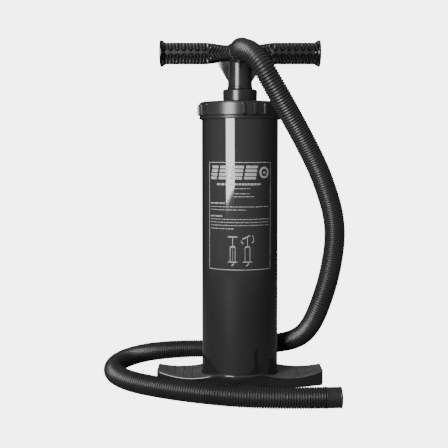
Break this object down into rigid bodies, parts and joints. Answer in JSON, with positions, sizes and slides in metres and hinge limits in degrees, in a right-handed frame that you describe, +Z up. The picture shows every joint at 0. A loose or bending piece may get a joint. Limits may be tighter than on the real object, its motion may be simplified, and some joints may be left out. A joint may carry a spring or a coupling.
{
  "type": "double-action hand air pump",
  "caption": "Floor-standing hand air pump with a T-handle plunger, ribbed screw cap, winged foot base and a corrugated hose.",
  "frame": {"origin": "on the barrel's axis, in the plane that the foot base stands on", "axes": "+Z up along the barrel and rod; X along the handle and the foot wings; the hose port faces -Y"},
  "size_m": [0.3363, 0.2978, 0.4803],
  "materials": {
    "barrel_plastic": "glossy injection-moulded black",
    "moulded_plastic": "semi-gloss moulded black",
    "hose_plastic": "flexible ribbed black, semi-gloss",
    "rod_plastic": "smooth extruded black",
    "piston_plastic": "natural unpigmented white",
    "seal_rubber": "soft black rubber",
    "screw_steel": "zinc-plated"
  },
  "bodies": {
    "pump_body": {"barrel": "barrel_plastic", "foot_base": "barrel_plastic", "foot_screws": "screw_steel", "floor_buffer": "seal_rubber", "screw_cap": "moulded_plastic", "cap_gasket": "seal_rubber", "rod_guide": "piston_plastic", "rod_bush": "piston_plastic", "stop_buffer": "seal_rubber", "gland_collar": "moulded_plastic", "rod_seal": "seal_rubber", "hose": "hose_plastic", "hose_end_cuff": "hose_plastic"},
    "plunger": {"handle": "moulded_plastic", "handle_screws": "screw_steel", "outlet_collar": "moulded_plastic", "intake_collar": "moulded_plastic", "intake_grille": "moulded_plastic", "outlet_duct": "rod_plastic", "duct_sleeve": "seal_rubber", "hose_cuff": "hose_plastic", "outer_rod": "rod_plastic", "inner_tube": "rod_plastic", "upper_piston_plate": "piston_plastic", "lower_piston_plate": "piston_plastic", "piston_manifold": "piston_plastic", "piston_skirt": "piston_plastic", "upper_piston_ring": "seal_rubber", "lower_piston_ring": "seal_rubber", "upper_valve_cage": "piston_plastic", "lower_valve_cage": "piston_plastic", "piston_screws": "screw_steel"},
    "upper_intake_flap": {"upper_intake_valve": "seal_rubber"},
    "lower_delivery_flap": {"lower_delivery_valve": "seal_rubber"},
    "lower_intake_flap": {"lower_intake_valve": "seal_rubber"},
    "upper_delivery_flap": {"upper_delivery_valve": "seal_rubber"}
  },
  "joints": [
    {"name": "plunger_slide", "type": "slide", "parent": "pump_body", "child": "plunger", "axis": [0, 0, 1], "range_m": [0, 0.28]},
    {"name": "upper_intake_lift", "type": "slide", "parent": "plunger", "child": "upper_intake_flap", "axis": [0, 0, 1], "range_m": [0, 0.002], "stiffness_N_per_m": 500},
    {"name": "lower_delivery_lift", "type": "slide", "parent": "plunger", "child": "lower_delivery_flap", "axis": [0, 0, 1], "range_m": [0, 0.002], "stiffness_N_per_m": 500},
    {"name": "lower_intake_drop", "type": "slide", "parent": "plunger", "child": "lower_intake_flap", "axis": [0, 0, -1], "range_m": [0, 0.002], "stiffness_N_per_m": 500},
    {"name": "upper_delivery_drop", "type": "slide", "parent": "plunger", "child": "upper_delivery_flap", "axis": [0, 0, -1], "range_m": [0, 0.002], "stiffness_N_per_m": 500}
  ],
  "couplings": [
    {"joint": "lower_delivery_lift", "follows": "upper_intake_lift", "ratio": 1},
    {"joint": "upper_delivery_drop", "follows": "lower_intake_drop", "ratio": 1}
  ]
}
